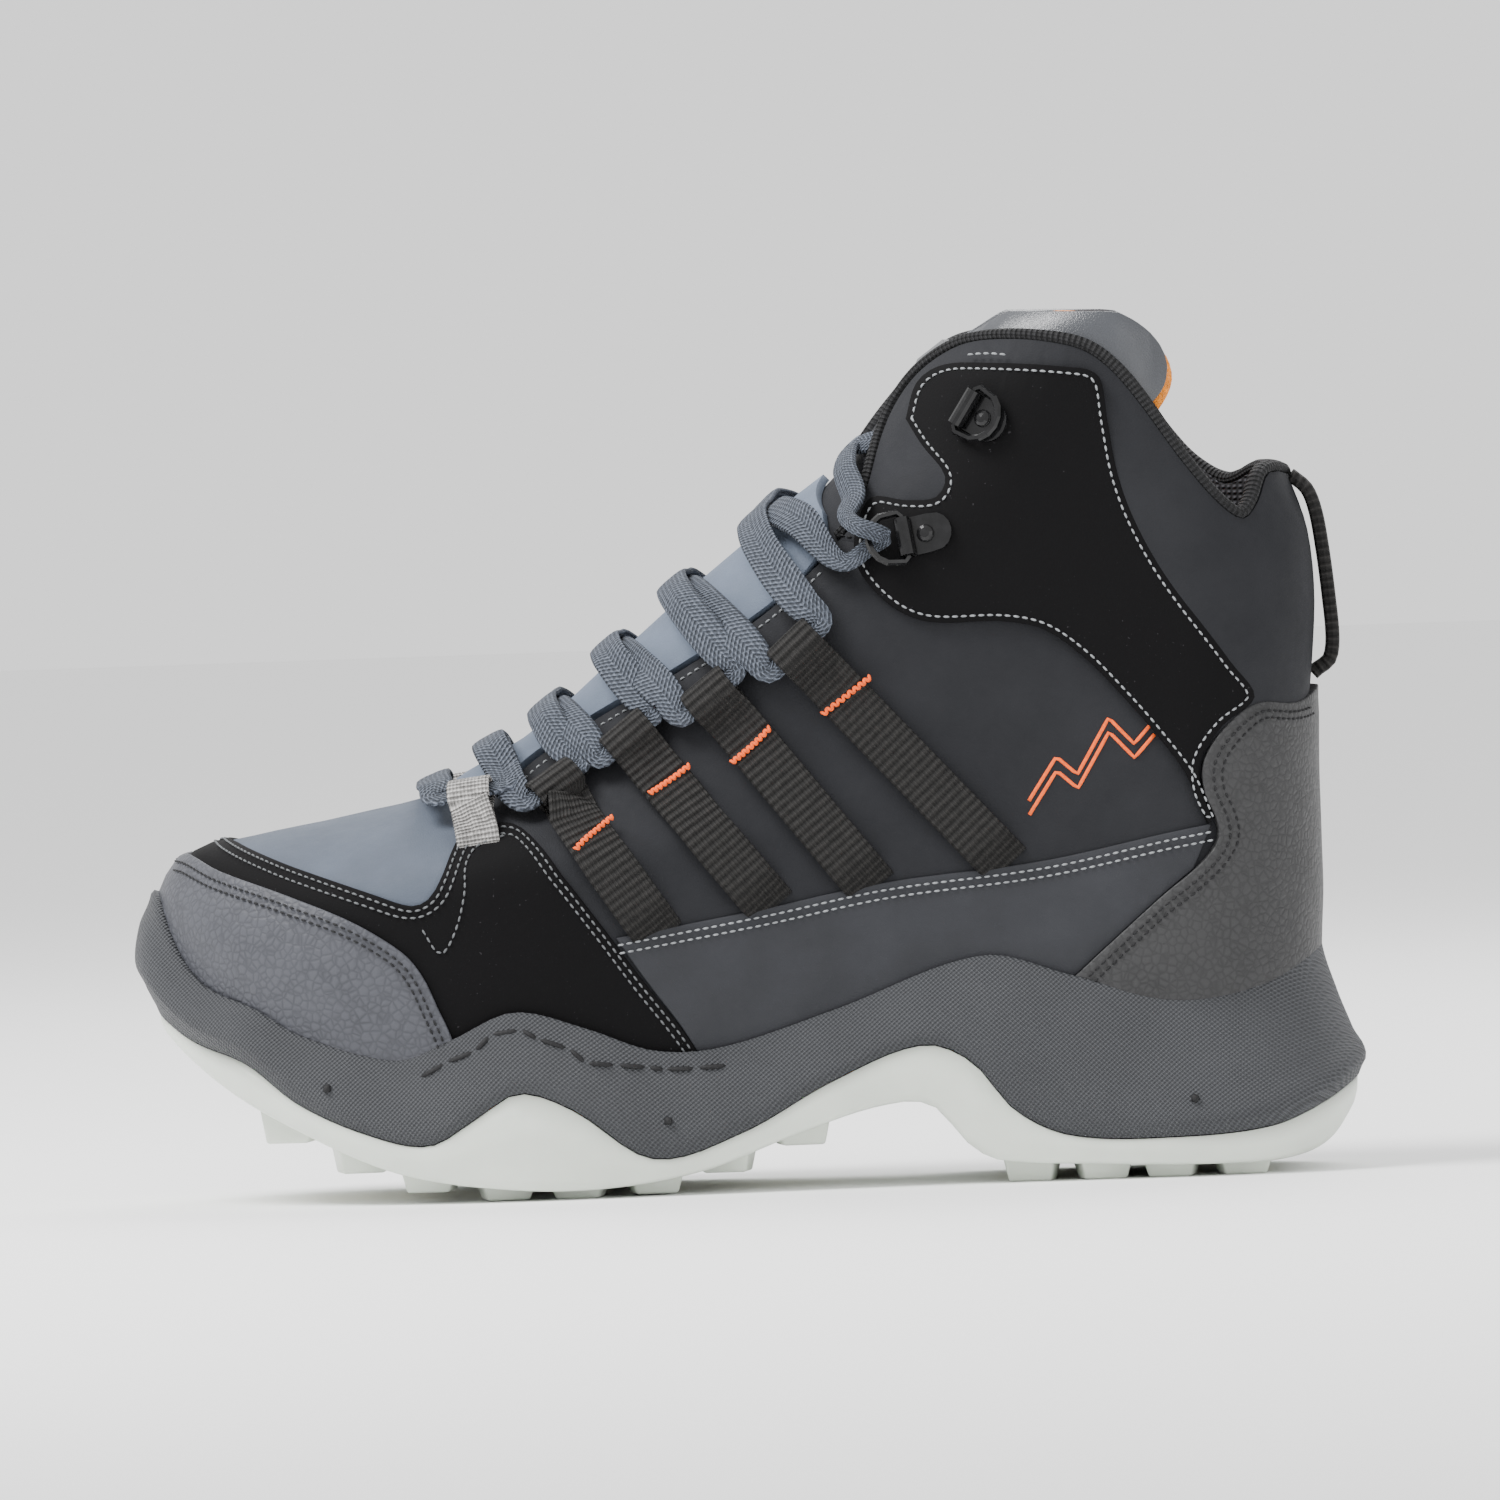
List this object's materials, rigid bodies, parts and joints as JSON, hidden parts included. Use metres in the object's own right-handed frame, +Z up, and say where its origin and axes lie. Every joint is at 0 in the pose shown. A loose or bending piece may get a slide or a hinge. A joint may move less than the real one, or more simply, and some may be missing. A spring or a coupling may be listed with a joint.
{
  "type": "hiking boot",
  "caption": "Mid-cut hiking boot for the left foot: lugged rubber outsole, foam cup midsole, layered upper, webbing lace loops, hinged metal lace rings, gusseted tongue and heel pull loop.",
  "frame": {"origin": "on the ground that the lugs stand on, under the middle of the boot's length and width", "axes": "+Z up, -X towards the toe, -Y towards the outer (lateral) side of the left foot"},
  "size_m": [0.2998, 0.1131, 0.2112],
  "materials": {
    "outsole_rubber": "satin, slightly translucent",
    "midsole_foam": "fine moulded texture",
    "spring_steel": "plain",
    "board_fibre": "matte",
    "fleece": "napped",
    "lining_mesh": "spacer mesh",
    "stiffener": "matte",
    "collar_foam": "open-cell foam",
    "slate_fabric": "woven",
    "graphite_fabric": "woven",
    "black_leather": "matte",
    "pebbled_leather": "pebbled",
    "black_webbing": "woven tape",
    "grey_webbing": "woven tape",
    "lace_braid": "braided",
    "gunmetal": "dark plated"
  },
  "bodies": {
    "boot": {"outsole": "outsole_rubber", "midsole": "midsole_foam", "shank": "spring_steel", "lasting_board": "board_fibre", "footbed": "fleece", "lining": "lining_mesh", "toe_puff": "stiffener", "heel_stiffener": "stiffener", "collar_foam": "collar_foam", "tongue_gusset": "slate_fabric", "tongue": "slate_fabric", "tongue_top": "slate_fabric", "vamp": "slate_fabric", "tongue_lining": "fleece", "tongue_top_lining": "fleece", "mudguard": "black_leather", "ankle_overlay_lateral": "black_leather", "ankle_overlay_medial": "black_leather", "toe_cap": "pebbled_leather", "heel_counter": "pebbled_leather", "quarter_lateral": "graphite_fabric", "quarter_medial": "graphite_fabric", "side_panel_lateral": "graphite_fabric", "side_panel_medial": "graphite_fabric", "collar_lateral": "graphite_fabric", "collar_medial": "graphite_fabric", "pull_loop": "black_webbing", "webbing_loop_lateral_1": "black_webbing", "webbing_loop_lateral_2": "black_webbing", "webbing_loop_lateral_3": "black_webbing", "webbing_loop_lateral_4": "black_webbing", "webbing_loop_medial_1": "black_webbing", "webbing_loop_medial_2": "black_webbing", "webbing_loop_medial_3": "black_webbing", "webbing_loop_medial_4": "black_webbing", "toe_lace_loop_lateral": "grey_webbing", "toe_lace_loop_medial": "grey_webbing", "lace": "lace_braid", "lower_hook_lateral": "gunmetal", "lower_hook_medial": "gunmetal", "upper_hook_lateral": "gunmetal", "upper_hook_medial": "gunmetal", "lower_rivet_lateral": "gunmetal", "lower_rivet_medial": "gunmetal", "upper_rivet_lateral": "gunmetal", "upper_rivet_medial": "gunmetal"},
    "lower_ring_lateral": {"lower_ring_lateral": "gunmetal"},
    "lower_ring_medial": {"lower_ring_medial": "gunmetal"},
    "upper_ring_lateral": {"upper_ring_lateral": "gunmetal"},
    "upper_ring_medial": {"upper_ring_medial": "gunmetal"}
  },
  "joints": [
    {"name": "lower_ring_lateral_hinge", "type": "hinge", "parent": "boot", "child": "lower_ring_lateral", "pos_m": [0.042, -0.04041, 0.1575], "axis": [-0.1533, 0.242, 0.9581], "range_deg": [0, 8]},
    {"name": "lower_ring_medial_hinge", "type": "hinge", "parent": "boot", "child": "lower_ring_medial", "pos_m": [0.042, 0.04041, 0.1575], "axis": [0.1533, 0.242, -0.9581], "range_deg": [0, 8]},
    {"name": "upper_ring_lateral_hinge", "type": "hinge", "parent": "boot", "child": "upper_ring_lateral", "pos_m": [0.0577, -0.03747, 0.1883], "axis": [0.5356, -0.049, 0.8431], "range_deg": [-155, 0]},
    {"name": "upper_ring_medial_hinge", "type": "hinge", "parent": "boot", "child": "upper_ring_medial", "pos_m": [0.0577, 0.03747, 0.1883], "axis": [-0.5356, -0.049, -0.8431], "range_deg": [-155, 0]}
  ]
}
